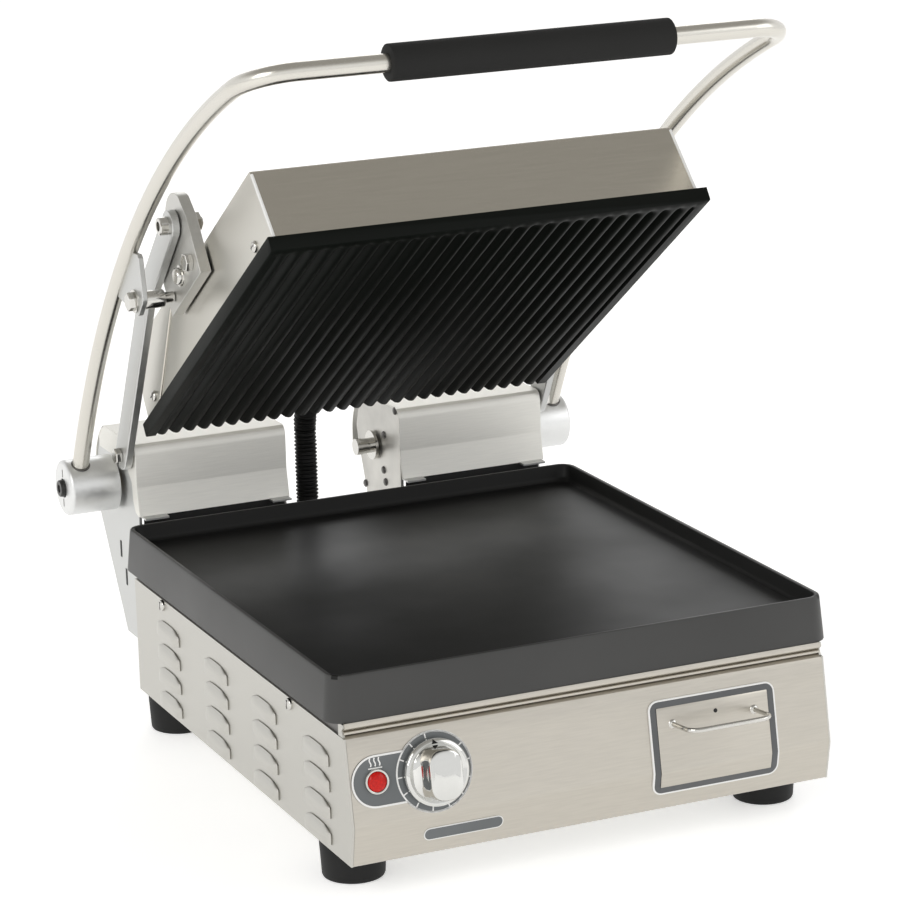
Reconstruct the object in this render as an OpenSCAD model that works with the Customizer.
// Countertop contact grill for toasted sandwiches, stored open.
// A grooved upper plate hangs from two lift arms and a bowed handle over a flat griddle tray.
// Millimetres. +X right, +Y rear, +Z up. Origin: centre of the overall box, on the worktop.
// Handle, arms and plate form a four-bar linkage; the plate lands level on the tray.

/* [Base] */
// Width over the two side panels
base_w = 360; // [320:1:400]
// Height of the rubber feet
foot_h = 26; // [18:1:35]
// Diameter of each foot at its top
foot_d = 46; // [36:1:54]
// Height of the top edge of the base panels
panel_top = 113.5; // [105:0.5:118]
// Thickness of the sheet metal
sheet_t = 1.5; // [1:0.1:2]

/* [Griddle tray] */
// Width over the tray rim
tray_w = 370; // [340:1:400]
// Depth over the tray rim
tray_d = 401; // [380:1:420]
// Height of the tray rim
rim_z = 154.8; // [150:0.1:160]
// Height of the cooking surface
floor_z = 141.8; // [138:0.1:146]
// Width of the tray rim
rim_t = 4; // [3:0.5:6]
// Outward flare of the skirt
skirt_flare = 3; // [0:0.5:4]
// Radius of the tray corners
tray_r = 12; // [8:1:20]

/* [Upper plate] */
// Half width of the grooved plate
plate_hw = 165.7; // [150:0.1:168]
// Length of the grooved plate
plate_l = 333; // [300:1:340]
// Thickness of the grooved plate
plate_t = 10.3; // [8:0.1:14]
// Number of grooves
groove_n = 28; // [20:1:32]
// Spacing of the grooves
groove_p = 11.3; // [10:0.1:12]
// Depth of the grooves
groove_dp = 4; // [2:0.5:5]
// Tilt of the upper plate at rest
tilt = 35.1; // [30:0.1:40]

/* [Linkage] */
// Diameter of the handle rod
rod_d = 12.7; // [10:0.1:16]
// Radius of the bowed handle legs
leg_r = 698.3; // [600:0.1:800]
// Distance of each leg from the middle
leg_x = 198.7; // [196:0.1:202]
// Diameter of the hubs
hub_d = 42.6; // [36:0.1:46]
// Width of the lift arms
arm_w = 22; // [18:1:26]
// Thickness of the lift arms
arm_t = 6; // [4:0.5:6]
// Diameter of the grip
grip_d = 25; // [20:1:30]
// Diameter of the pivot bolts
bolt_d = 8; // [6:0.5:10]
// Diametral clearance of each running fit
fit = 0.1; // [0.04:0.02:0.2]

/* [Controls] */
// Diameter of the control knob
knob_d = 46; // [36:1:50]
// Width of the grease drawer
drawer_w = 86; // [70:1:86]
// Length of the grease drawer pan
drawer_l = 270; // [200:5:300]

/* [Hidden] */
$fn = 64;
// offset that centres the overall depth on the origin
y_mid = 34.64;
// half widths of the base
bx = base_w / 2;
ix = bx - sheet_t;
// hinge axis of the handle
a0 = [267.7, 171.6];
// lower pivot of the lift arms
b0 = [230, 201.421];
// upper pivot of the lift arms
b1 = [101.72, 400.80];
// knee of the lift arms
knee = [160, 338];
// joint between handle and plate
a1 = [111.98, 346.54];
// front top edge of the upper plate
pf = [-67, 421.6];
// slope of the front panel above its crease
fa = atan(10.6 / 59.4);
knob_x = -118.7;
knob_z = 82.9;
lamp_x = -160.3;
drawer_x = 90;
// side screws, as [y, z]
screw_at = [[138.3, 108.5], [-112.1, 108.5]];

// ---- helpers ----
module at() {
  translate([0, -y_mid, 0])
    children();
}
module both() {
  children();
  mirror([1, 0, 0])
    children();
}
// plate lying in a YZ plane, from x0, thickness t
module yz(x0, t) {
  translate([x0, 0, 0])
    rotate([90, 0, 90])
      linear_extrude(height = t)
        children();
}
// round bar along X through the point p = [y, z]
module bar_x(p, x0, x1, d) {
  translate([x0, p[0], p[1]])
    rotate([0, 90, 0])
      cylinder(h = x1 - x0, d = d);
}
module box(x0, x1, y0, y1, z0, z1) {
  translate([x0, y0, z0])
    cube([x1 - x0, y1 - y0, z1 - z0]);
}
function panel_y(z) = z < 54.1 ? -216.6 + (54.1 - z) * 4.8 / 28.1 : -216.6 + (z - 54.1) * 10.6 / 59.4;
// local frame on the sloping front panel: +Z outwards, +Y up the panel
module on_panel(x, z) {
  translate([x, panel_y(z), z])
    rotate([90 - fa, 0, 0])
      children();
}
// local frame of the upper plate: +Y rearward along the plate, +Z away from its face
module on_plate() {
  translate([0, pf[0], pf[1]])
    rotate([-tilt, 0, 0])
      children();
}
module round_rect(w, d, r) {
  square([w - 2 * r, d], center = true);
  square([w, d - 2 * r], center = true);
  for (sx = [-1, 1])
    for (sy = [-1, 1])
      translate([sx * (w / 2 - r), sy * (d / 2 - r)])
        circle(r = r);
}
// outline of a flat bar with one bend, from p over k to q, half width h
function unit(v) = v / sqrt(v[0] * v[0] + v[1] * v[1]);
function left(v) = [-v[1], v[0]];
function dogleg(p, k, q, h) =
  let (n1 = left(unit(k - p)), n2 = left(unit(q - k)), m = unit(n1 + n2), c = h / (m * n1))
    [p - h * n1, k - c * m, q - h * n2, q + h * n2, k + c * m, p + h * n1];
module louvre(y, z) {
  translate([bx, y, z])
    rotate([90, 0, 0])
      translate([0, 0, -23])
        linear_extrude(height = 46)
          polygon([[-0.7, 13], [0, 13], [3.6, 6], [4, 1], [4, 0], [3, 0], [3, 1], [2.6, 5.4], [-0.7, 11.6]]);
}
module side_sheet() {
  difference() {
    yz(ix, sheet_t)
      polygon([[-211.8, foot_h], [-216.6, 54.1], [-206, panel_top], [199.9, panel_top],
        [199.9, foot_h]]);
    for (y = [-157, -63, 30, 128])
      for (z = [31, 49.5, 68, 86])
        box(ix - 1, bx + 1, y - 22, y + 22, z, z + 10);
    for (p = screw_at)
      bar_x(p, ix - 5, bx + 5, 4);
  }
  for (y = [-157, -63, 30, 128])
    for (z = [31, 49.5, 68, 86])
      louvre(y, z);
}

// ---- base ----
module feet() {
  color([0.05, 0.05, 0.05])
    at()
      for (sx = [-1, 1])
        for (y = [-160.4, 176.9])
          translate([sx * 157.3, y, 0])
            difference() {
              cylinder(h = foot_h, d1 = foot_d - 3, d2 = foot_d);
              translate([0, 0, -1])
                cylinder(h = 9, d = 16);
            }
}
module bottom_pan() {
  color([0.7, 0.7, 0.69])
    at()
      difference() {
        box(-ix, ix, -210.2, 198.4, foot_h, foot_h + sheet_t);
        for (x = [-90, -30, 30])
          for (y = [-60, 0, 60])
            box(x - 20, x + 20, y - 3, y + 3, foot_h - 1, foot_h + 3);
      }
}
module front_panel() {
  color([0.76, 0.74, 0.69])
    at()
      difference() {
        yz(-ix, 2 * ix)
          polygon([[-211.8, foot_h], [-216.6, 54.1], [-206, panel_top], [-194, panel_top],
            [-194, panel_top - sheet_t], [-204.9, panel_top - sheet_t], [-215.1, 54.1],
            [-210.3, foot_h]]);
        box(drawer_x - 44.2, drawer_x + 44.2, -225, -204, 41, 99.4);
        on_panel(knob_x, knob_z)
          translate([0, 0, -6])
            cylinder(h = 12, d = 10);
        on_panel(lamp_x, knob_z)
          translate([0, 0, -6])
            cylinder(h = 12, d = 12.2);
      }
}
module side_panel_right() {
  color([0.79, 0.79, 0.78])
    at()
      side_sheet();
}
module side_panel_left() {
  color([0.79, 0.79, 0.78])
    at()
      mirror([1, 0, 0])
        side_sheet();
}
module rear_panel() {
  color([0.77, 0.76, 0.73])
    at()
      difference() {
        box(-ix, ix, 198.4, 199.9, foot_h, panel_top);
        for (x = [-130, -100, -70, 70, 100, 130])
          box(x - 10, x + 10, 190, 210, 36, 42);
        translate([22, 190, 60])
          rotate([-90, 0, 0])
            cylinder(h = 20, d = 16.2);
        translate([-22, 190, 95])
          rotate([-90, 0, 0])
            cylinder(h = 20, d = 16.2);
      }
}
module chassis_ring() {
  color([0.6, 0.6, 0.59])
    at() {
      both()
        difference() {
          union() {
            box(ix - 2, ix, -194, 198.4, foot_h + sheet_t, 120);
            box(ix - 2, ix, -194, 194, 119, floor_z - 4);
          }
          for (p = screw_at)
            bar_x(p, ix - 5, ix + 5, 4);
        }
      box(2 - ix, ix - 2, 193, 195, 111, floor_z - 4);
      difference() {
        box(2 - ix, ix - 2, -194, -192, 102, floor_z - 4);
        box(lamp_x - 9, lamp_x + 9, -196, -190, 101, 103);
      }
    }
}
module griddle_tray() {
  ht = tray_d / 2;
  hw = tray_w / 2;
  color([0.28, 0.28, 0.28])
    at()
      difference() {
        intersection() {
          translate([0, 0, 123])
            linear_extrude(height = rim_z - 123)
              round_rect(tray_w + 2 * skirt_flare, tray_d + 2 * skirt_flare, tray_r + 2);
          yz(-250, 500)
            polygon([[-ht - skirt_flare, 123], [-ht, rim_z], [ht, rim_z], [ht + skirt_flare, 123]]);
          translate([0, 250, 0])
            rotate([90, 0, 0])
              linear_extrude(height = 500)
                polygon([[-hw - skirt_flare, 123], [-hw, rim_z], [hw, rim_z], [hw + skirt_flare, 123]]);
        }
        translate([0, 0, 120])
          linear_extrude(height = 60)
            round_rect(tray_w - 2 * rim_t, tray_d - 2 * rim_t, tray_r - rim_t);
      }
}
module griddle_floor() {
  color([0.17, 0.17, 0.17])
    at()
      difference() {
        translate([0, 0, floor_z - 4])
          linear_extrude(height = 4)
            round_rect(tray_w - 2 * rim_t, tray_d - 2 * rim_t, tray_r - rim_t);
        box(drawer_x - 15, drawer_x + 15, -187, -181, 130, 150);
      }
}
module lower_heating_element() {
  ez = floor_z - 4 - 4;
  color([0.35, 0.33, 0.32])
    at() {
      for (k = [0:5])
        translate([-125 + 50 * k, -120, ez])
          rotate([-90, 0, 0])
            cylinder(h = k == 0 || k == 5 ? 290 : 270, d = 8);
      for (k = [0, 2, 4])
        translate([-100 + 50 * k, -120, ez])
          rotate([0, 0, 180])
            rotate_extrude(angle = 180)
              translate([25, 0])
                circle(d = 8);
      for (k = [1, 3])
        translate([-100 + 50 * k, 150, ez])
          rotate_extrude(angle = 180)
            translate([25, 0])
              circle(d = 8);
    }
}
module lower_insulation() {
  color([0.85, 0.83, 0.78])
    at()
      difference() {
        box(2 - ix, ix - 2, -192, 193, 116, floor_z - 12);
        box(drawer_x - 17, drawer_x + 17, -191, -177, 110, 140);
      }
}
module drain_chute() {
  color([0.6, 0.6, 0.59])
    at()
      difference() {
        box(drawer_x - 17, drawer_x + 17, -189, -179, 99, floor_z - 4);
        box(drawer_x - 15, drawer_x + 15, -187, -181, 98, floor_z);
      }
}
module thermostat() {
  color([0.4, 0.38, 0.35])
    at()
      on_panel(knob_x, knob_z)
        difference() {
          union() {
            translate([0, 0, -sheet_t - 26])
              cylinder(h = 26, d = 34);
            translate([-17, -12, -sheet_t - 34])
              cube([34, 24, 9]);
          }
          translate([0, 0, -sheet_t - 20])
            cylinder(h = 30, d = 6 + fit);
        }
}
module dial_plate() {
  color([0.42, 0.43, 0.44])
    at()
      on_panel(knob_x, knob_z)
        difference() {
          linear_extrude(height = 0.6) {
            circle(d = 54);
            translate([lamp_x - knob_x, -17])
              square([knob_x - lamp_x, 34]);
            translate([lamp_x - knob_x, 0])
              circle(d = 34);
          }
          translate([0, 0, -1])
            cylinder(h = 3, d = 10);
          translate([lamp_x - knob_x, 0, -1])
            cylinder(h = 3, d = 12.2);
        }
}
module lamp_bezel() {
  color([0.8, 0.8, 0.8])
    at()
      on_panel(lamp_x, knob_z)
        difference() {
          translate([0, 0, 0.6])
            cylinder(h = 2.4, d = 18);
          cylinder(h = 4, d = 12.2);
        }
}
module lamp_lens() {
  color([0.75, 0.08, 0.05])
    at()
      on_panel(lamp_x, knob_z) {
        translate([0, 0, -14])
          cylinder(h = 17, d = 12);
        translate([0, 0, 3])
          cylinder(h = 1.6, d1 = 12, d2 = 8);
      }
}
module drawer_frame() {
  color([0.82, 0.81, 0.78])
    at()
      difference() {
        yz(drawer_x - 48.5, 97)
          polygon([[-213.85, 38], [-216.6, 54.1], [-207.87, 103], [-209.84, 103.35],
            [-218.6, 54.05], [-215.82, 37.66]]);
        box(drawer_x - drawer_w / 2 - 0.6, drawer_x + drawer_w / 2 + 0.6, -225, -200, 42.4, 98.1);
      }
}
module drawer_runners() {
  color([0.6, 0.6, 0.59])
    at()
      for (sx = [-1, 1])
        translate([drawer_x, 0, 0])
          difference() {
            translate([sx > 0 ? 36 : -47, -209, foot_h + sheet_t])
              cube([11, 340, 28]);
            translate([sx > 0 ? 34 : -45.5, -210, 42.6])
              cube([11.5, 342, 20]);
            translate([sx > 0 ? 37.5 : -48.5, -210, foot_h])
              cube([11, 342, 15]);
          }
}
module panel_screws() {
  color([0.8, 0.8, 0.8])
    at()
      both()
        for (p = screw_at)
          difference() {
            union() {
              bar_x(p, ix - 4, bx, 4);
              bar_x(p, bx, bx + 2.4, 8.4);
            }
            translate([bx + 1.4, p[0] - 5, p[1] - 0.6])
              cube([2, 10, 1.2]);
          }
}
module gland(x, z, d, b) {
  translate([x, 194, z])
    rotate([-90, 0, 0])
      difference() {
        union() {
          cylinder(h = 14, d = 16);
          translate([0, 0, 5.9])
            cylinder(h = 6, d = d, $fn = 6);
          translate([0, 0, 1])
            cylinder(h = 3.4, d = d, $fn = 6);
        }
        translate([0, 0, -1])
          cylinder(h = 30, d = b);
      }
}
module mains_gland() {
  color([0.12, 0.12, 0.12])
    at()
      gland(22, 60, 26, 9);
}
module base_conduit_gland() {
  color([0.2, 0.2, 0.2])
    at()
      gland(-22, 95, 27, 9);
}
module bracket_side() {
  // outer plate, inner plate and the mounting flange behind the base
  difference() {
    yz(165.5, 2.5)
      polygon(concat([[199.9, 54], [257, 54], [311.7, 141]],
        [for (a = [0 : 10 : 60]) [a0[0] + 44 * cos(a), a0[1] + 44 * sin(a)]],
        [[224, 210], [218.2, 204.5], [218.2, 150], [206, 118], [199.9, 116]]));
    bar_x(a0, 160, 175, 18);
    bar_x(b0, 160, 175, bolt_d);
    for (p = [[262, 112], [252, 92]])
      translate([160, p[0], p[1]])
        cube([12, 3, 14]);
  }
  difference() {
    yz(48, 2.5)
      polygon([[199.9, 54], [250, 54], [287, 128], [302, 167], [305, 180], [298, 200], [289, 209.6],
        [224, 210], [218.2, 204.5], [218.2, 150], [206, 118], [199.9, 116]]);
    bar_x(a0, 40, 60, 18);
  }
  box(50.5, 165.5, 199.9, 202.4, 54, 112);
}
module hinge_bracket_right() {
  color([0.83, 0.84, 0.84])
    at()
      bracket_side();
}
module hinge_bracket_left() {
  color([0.83, 0.84, 0.84])
    at()
      mirror([1, 0, 0])
        bracket_side();
}
module cover_profile() {
  // folded sheet seen from the side: front lip, upright, top and rounded back
  polygon(concat([[213, 156], [217, 178], [217, 205], [218.3, 208.3], [220.8, 210.6], [224, 211.2]],
    [for (a = [60 : -10 : 0]) [a0[0] + 45.2 * cos(a), a0[1] + 45.2 * sin(a)]],
    [[a0[0] + 45.2, 156], [a0[0] + 44, 156]],
    [for (a = [0 : 10 : 60]) [a0[0] + 44 * cos(a), a0[1] + 44 * sin(a)]],
    [[224, 210], [218.2, 204.5], [218.2, 178], [214.2, 156]]));
}
module cover_side() {
  yz(46.8, 122.4)
    cover_profile();
  // side cheeks lapping the bracket plates
  difference() {
    for (x = [46.8, 168])
      yz(x, 1.2)
        intersection() {
          polygon([[213.5, 156], [216.5, 178], [216.5, 211], [290, 211], [312.5, 190], [312.5, 156.6]]);
          difference() {
            translate([205, 150])
              square([110, 61]);
            translate([228, 140])
              square([66, 58]);
          }
          union() {
            translate([a0[0], a0[1]])
              circle(r = 45);
            translate([205, 150])
              square([60, 61.2]);
          }
        }
    bar_x(b0, 160, 175, 26);
    bar_x(a0, 160, 175, 46);
    bar_x(a0, 40, 60, 26);
  }
  // foot tab at the outer lower corner
  box(153, 167, 203.7, 216, 154.9, 156.4);
  box(48, 62, 203.7, 216, 154.9, 156.4);
}
module spring_cover_right() {
  color([0.77, 0.76, 0.73])
    at()
      cover_side();
}
module spring_cover_left() {
  color([0.77, 0.76, 0.73])
    at()
      mirror([1, 0, 0])
        cover_side();
}
module spring_body() {
  difference() {
    bar_x(a0, 68, 148, 34);
    bar_x(a0, 60, 160, 20);
  }
  // straight ends bearing on the two bracket plates
  bar_x([a0[0] - 15, a0[1] + 2], 50.5, 72, 4);
  bar_x([a0[0] - 15, a0[1] + 2], 144, 165.5, 4);
}
module torsion_spring_right() {
  color([0.3, 0.3, 0.31])
    at()
      spring_body();
}
module torsion_spring_left() {
  color([0.3, 0.3, 0.31])
    at()
      mirror([1, 0, 0])
        spring_body();
}
module shaft_bushings() {
  color([0.72, 0.6, 0.35])
    at()
      both()
        for (x = [164, 47])
          difference() {
            bar_x(a0, x + (x > 100 ? 1.5 : 1), x + (x > 100 ? 5 : 4), 18);
            bar_x(a0, x - 1, x + 8, 12 + fit);
          }
}
module arm_pivot_studs() {
  color([0.8, 0.8, 0.8])
    at()
      both() {
        bar_x(b0, 158, 176.4, bolt_d);
        translate([176.4, b0[0], b0[1]])
          rotate([0, 90, 0])
            cylinder(h = 4.8, d = 12.7, $fn = 6);
        translate([159.5, b0[0], b0[1]])
          rotate([0, 90, 0])
            cylinder(h = 6, d = 15, $fn = 6);
        difference() {
          bar_x(b0, 168, 170.1, 16);
          bar_x(b0, 160, 172, bolt_d);
        }
      }
}
module conduit_lower() {
  color([0.05, 0.05, 0.05])
    at()
      translate([-22, 0, 0]) {
        translate([0, 208, 127])
          rotate([90, 0, 90])
            rotate([0, 0, -90])
              rotate_extrude(angle = 90)
                translate([32, 0])
                  circle(d = 18);
        translate([0, 240, 127])
          cylinder(h = 72.7, d = 18);
      }
}

// ---- handle ----
module rod_leg(a_from, a_to, d) {
  translate([leg_x, -368.5, -116.3])
    rotate([90, 0, 90])
      rotate([0, 0, 24.35 + a_from])
        rotate_extrude(angle = a_to - a_from)
          translate([leg_r, 0])
            circle(d = d);
}
module leg_body() {
  rod_leg(0.82, 43.16, rod_d);
  // link tab welded to the front of the leg
  difference() {
    yz(195, 4)
      polygon([[121, 381], [102, 381], [96, 350], [108, 336], [155, 343]]);
    bar_x(a1, 190, 205, bolt_d + 0.2);
  }
}
module handle_leg_right() {
  color([0.78, 0.78, 0.76])
    at()
      leg_body();
}
module handle_leg_left() {
  color([0.78, 0.78, 0.76])
    at()
      mirror([1, 0, 0])
        leg_body();
}
module handle_crossbar() {
  ty = -101.3;
  tz = 528.83;
  cy = ty - 33 * sin(67.51);
  cz = tz + 33 * cos(67.51);
  color([0.78, 0.78, 0.76])
    at() {
      both()
        translate([leg_x - 33, ty, tz])
          rotate([90 + 67.51, 0, 0])
            rotate_extrude(angle = 90)
              translate([33, 0])
                circle(d = rod_d);
      bar_x([cy, cz], 33.03 - leg_x, leg_x - 33.03, rod_d);
    }
}
module handle_grip() {
  cy = -101.3 - 33 * sin(67.51);
  cz = 528.83 + 33 * cos(67.51);
  color([0.17, 0.17, 0.17])
    at()
      difference() {
        bar_x([cy, cz], -103, 103, grip_d);
        bar_x([cy, cz], -110, 110, rod_d + 0.1);
      }
}
module hub_body() {
  difference() {
    bar_x(a0, 171, 210.6, hub_d);
    bar_x(a0, 160, 190, 12);
    bar_x(a0, 180, 206, bolt_d);
    bar_x(a0, 205, 215, 14);
    rod_leg(0.82, 5, rod_d);
  }
}
module hub_right() {
  color([0.86, 0.87, 0.87])
    at()
      hub_body();
}
module hub_left() {
  color([0.86, 0.87, 0.87])
    at()
      mirror([1, 0, 0])
        hub_body();
}
module hub_bolts() {
  color([0.06, 0.06, 0.06])
    at()
      both()
        difference() {
          union() {
            bar_x(a0, 190, 205, bolt_d);
            bar_x(a0, 205, 214, 13);
          }
          translate([209, a0[0], a0[1]])
            rotate([0, 90, 0])
              cylinder(h = 6, d = 7, $fn = 6);
        }
}
module shaft_body() {
  bar_x(a0, 36, 190, 12);
  bar_x(a0, 31, 36, 13);
}
module hinge_shaft_right() {
  color([0.72, 0.72, 0.72])
    at()
      shaft_body();
}
module hinge_shaft_left() {
  color([0.72, 0.72, 0.72])
    at()
      mirror([1, 0, 0])
        shaft_body();
}
module shaft_washers() {
  color([0.8, 0.8, 0.8])
    at()
      both()
        difference() {
          bar_x(a0, 44, 46.2, 23);
          bar_x(a0, 40, 50, 12);
        }
}
module link_pins() {
  color([0.8, 0.8, 0.8])
    at()
      both() {
        bar_x(a1, 178, 200.5, bolt_d);
        difference() {
          bar_x(a1, 178, 194.9, 13);
          bar_x(a1, 170, 200, bolt_d);
        }
        bar_x(a1, 170.1, 178, bolt_d);
        difference() {
          bar_x(a1, 199, 200.4, 17);
          bar_x(a1, 190, 205, bolt_d);
        }
        translate([200.4, a1[0], a1[1]])
          rotate([0, 90, 0])
            cylinder(h = 5, d = 14, $fn = 6);
      }
}

// ---- lift arms ----
module arm_body() {
  difference() {
    yz(170.2, arm_t)
      union() {
        polygon(dogleg(b0, knee, b1, arm_w / 2));
        for (p = [b0, b1])
          translate([p[0], p[1]])
            circle(d = arm_w + 0.8);
      }
    bar_x(b0, 160, 180, bolt_d + fit);
    bar_x(b1, 160, 180, bolt_d);
  }
}
module lift_arm_right() {
  color([0.84, 0.85, 0.85])
    at()
      arm_body();
}
module lift_arm_left() {
  color([0.84, 0.85, 0.85])
    at()
      mirror([1, 0, 0])
        arm_body();
}
module arm_pivot_bolts() {
  color([0.8, 0.8, 0.8])
    at()
      both() {
        bar_x(b1, 150, 176.2, bolt_d);
        difference() {
          bar_x(b1, 176.2, 183, 13);
          translate([180, b1[0], b1[1]])
            rotate([0, 90, 0])
              cylinder(h = 6, d = 7, $fn = 6);
        }
        translate([152, b1[0], b1[1]])
          rotate([0, 90, 0])
            cylinder(h = 7.4, d = 15, $fn = 6);
      }
}

// ---- upper plate ----
module grooved_plate() {
  color([0.1, 0.11, 0.1])
    at()
      on_plate()
        difference() {
          translate([-plate_hw, 0, -plate_t])
            cube([2 * plate_hw, plate_l, plate_t]);
          for (k = [0 : groove_n - 1])
            translate([(k - (groove_n - 1) / 2) * groove_p, 10, -plate_t])
              rotate([-90, 0, 0])
                linear_extrude(height = plate_l)
                  polygon([[-4.4, 1], [-4.4, 0], [-0.8, -groove_dp], [0.8, -groove_dp], [4.4, 0],
                    [4.4, 1]]);
        }
}
module upper_heating_element() {
  color([0.35, 0.33, 0.32])
    at()
      on_plate() {
        for (k = [0:5])
          translate([-125 + 50 * k, 50, 4])
            rotate([-90, 0, 0])
              cylinder(h = 220, d = 8);
        for (k = [0, 2, 4])
          translate([-100 + 50 * k, 50, 4])
            rotate([0, 0, 180])
              rotate_extrude(angle = 180)
                translate([25, 0])
                  circle(d = 8);
        for (k = [1, 3])
          translate([-100 + 50 * k, 270, 4])
            rotate_extrude(angle = 180)
              translate([25, 0])
                circle(d = 8);
      }
}
module upper_insulation() {
  color([0.85, 0.83, 0.78])
    at()
      on_plate()
        translate([0, 0, 0])
          box(-152, 152, 14, 306, 8, 22);
}
module casing_profile() {
  difference() {
    polygon([[4.6, 0], [14.8, 56], [224, 56], [317, 0]]);
    polygon([[6.15, -1], [6.15, 0], [16.1, 54.5], [240, 54.5], [340, -1]]);
  }
}
module platen_casing() {
  color([0.72, 0.7, 0.65])
    at()
      on_plate() {
        yz(-160, 320)
          casing_profile();
        both()
          yz(158.5, 1.5)
            polygon([[5.4, 0], [15.5, 55.3], [224, 55.3], [317, 0]]);
      }
}
module platen_rear_cover() {
  color([0.74, 0.72, 0.67])
    at()
      on_plate()
        difference() {
          union() {
            yz(-161.2, 322.4)
              difference() {
                polygon([[210, 57.2], [272, 57.2], [331.8, 24.7], [331.8, 0], [330.6, 0], [330.6, 24],
                  [271.7, 56], [210, 56]]);
              }
            both()
              yz(160, 1.2)
                polygon([[210, 57.2], [272, 57.2], [331.8, 24.7], [331.8, 0], [303, 0]]);
          }
          translate([-22, 325, 12])
            rotate([-90, 0, 0])
              cylinder(h = 20, d = 16.2);
        }
}
module bracket_plate() {
  difference() {
    yz(160, 9.6)
      polygon(concat([[127, 32], [203.5, 32], [205, 66], [167, 95]],
        [for (a = [30 : 20 : 150]) [150 + 21 * cos(a), 82 + 21 * sin(a)]], [[127, 75]]));
    bar_x([150, 80], 150, 180, bolt_d + fit);
    for (p = [[140.6, 46.5], [165, 46.7]])
      bar_x(p, 150, 180, 6);
  }
}
module platen_bracket_right() {
  color([0.84, 0.85, 0.85])
    at()
      on_plate()
        bracket_plate();
}
module platen_bracket_left() {
  color([0.84, 0.85, 0.85])
    at()
      mirror([1, 0, 0])
        on_plate()
          bracket_plate();
}
module bracket_bolts() {
  color([0.8, 0.8, 0.8])
    at()
      on_plate()
        both() {
          for (p = [[140.6, 46.5], [165, 46.7]])
            bar_x(p, 160, 169.6, 6);
          translate([169.6, 140.6, 46.5])
            rotate([0, 90, 0])
              cylinder(h = 4, d = 11, $fn = 6);
          bar_x([165, 46.7], 169.6, 170.8, 15);
          bar_x([165, 46.7], 170.8, 173.8, 10);
        }
}
module platen_screws() {
  color([0.8, 0.8, 0.8])
    at()
      on_plate()
        both() {
          bar_x([40, 10.6], 160, 162.4, 8);
          bar_x([305, 11], 161.2, 163.6, 8);
        }
}
module conduit_upper() {
  color([0.05, 0.05, 0.05])
    at()
      translate([-22, 0, 0]) {
        translate([0, 200, 199.7])
          rotate([90, 0, 90])
            rotate_extrude(angle = 90 - tilt)
              translate([40, 0])
                circle(d = 18);
        translate([0, 222.96, 232.45])
          rotate([90 - tilt, 0, 0])
            cylinder(h = 8, d = 18);
      }
}
module platen_conduit_gland() {
  color([0.2, 0.2, 0.2])
    at()
      on_plate()
        translate([-22, 325, 12])
          rotate([-90, 0, 0])
            difference() {
              union() {
                cylinder(h = 13, d = 16);
                translate([0, 0, 6.8])
                  cylinder(h = 5, d = 23, $fn = 6);
                translate([0, 0, 2])
                  cylinder(h = 3.6, d = 21, $fn = 6);
              }
              translate([0, 0, -1])
                cylinder(h = 30, d = 9);
            }
}

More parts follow.
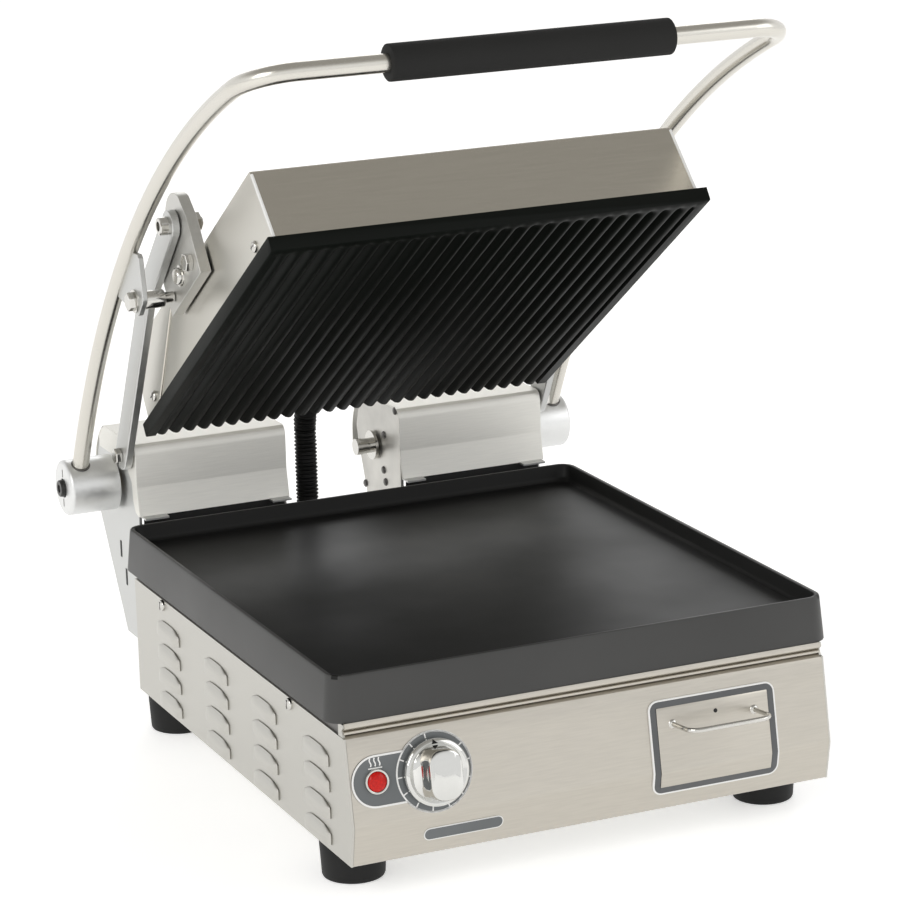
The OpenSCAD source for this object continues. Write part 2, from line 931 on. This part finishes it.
// ---- knob and drawer ----
module control_knob() {
  color([0.8, 0.79, 0.76])
    at()
      on_panel(knob_x, knob_z) {
        translate([0, 0, -16])
          cylinder(h = 18, d = 6);
        translate([0, 0, 1.4])
          cylinder(h = 5, d = knob_d);
        translate([0, 0, 6.4])
          cylinder(h = 1.6, d1 = knob_d, d2 = knob_d - 4);
        intersection() {
          translate([-knob_d / 2, -5.5, 7])
            cube([knob_d, 11, 15]);
          translate([0, 0, 7])
            cylinder(h = 16, d = knob_d - 6);
        }
      }
}
module grease_drawer() {
  hw = drawer_w / 2;
  color([0.82, 0.81, 0.78])
    at() {
      difference() {
        yz(drawer_x - hw, drawer_w)
          polygon([[-214.6, 43], [-216.6, 54.1], [-208.9, 97.5], [-210.3, 97.8], [-218.1, 54.05],
            [-216.1, 42.7]]);
        on_panel(drawer_x + 1.8, 89.9)
          translate([0, 0, -6])
            cylinder(h = 12, d = 4);
      }
      difference() {
        box(drawer_x - hw + 1.4, drawer_x + hw - 1.4, -215.2, drawer_l - 215, 43.2, 92);
        box(drawer_x - hw + 2.9, drawer_x + hw - 2.9, -213.7, drawer_l - 216.5, 44.7, 100);
        box(drawer_x - 60, drawer_x + 60, -230, -209, 80, 100);
        yz(drawer_x - 60, 120)
          polygon([[-214.6, 40], [-216.6, 54.1], [-208.9, 97.5], [-240, 97.8], [-240, 30]]);
      }
    }
}
module drawer_pull() {
  color([0.8, 0.8, 0.79])
    at()
      translate([drawer_x, 0, 0])
        on_panel(0, 86) {
          for (sx = [-1, 1])
            translate([sx * 31.5, 0, 1.5]) {
              cylinder(h = 1.4, d = 8);
              rotate([4, 0, 0])
                translate([0, 0, 0.8])
                  cylinder(h = 28.2, d = 3.4);
              rotate([4, 0, 0])
                translate([0, 0, 29])
                  sphere(d = 3.4, $fn = 32);
            }
          translate([-31.5, 0, 1.5])
            rotate([4, 0, 0])
              translate([0, 0, 29])
                rotate([0, 90, 0])
                  cylinder(h = 63, d = 3.4);
        }
}

feet();
bottom_pan();
front_panel();
side_panel_left();
side_panel_right();
rear_panel();
chassis_ring();
griddle_tray();
griddle_floor();
lower_heating_element();
lower_insulation();
drain_chute();
thermostat();
dial_plate();
lamp_bezel();
lamp_lens();
drawer_frame();
drawer_runners();
panel_screws();
mains_gland();
hinge_bracket_left();
hinge_bracket_right();
spring_cover_left();
spring_cover_right();
torsion_spring_left();
torsion_spring_right();
shaft_bushings();
arm_pivot_studs();
conduit_lower();
base_conduit_gland();
handle_leg_left();
handle_leg_right();
handle_crossbar();
handle_grip();
hub_left();
hub_right();
hub_bolts();
hinge_shaft_left();
hinge_shaft_right();
shaft_washers();
link_pins();
lift_arm_left();
lift_arm_right();
arm_pivot_bolts();
grooved_plate();
upper_heating_element();
upper_insulation();
platen_casing();
platen_rear_cover();
platen_bracket_left();
platen_bracket_right();
bracket_bolts();
platen_screws();
conduit_upper();
platen_conduit_gland();
control_knob();
grease_drawer();
drawer_pull();
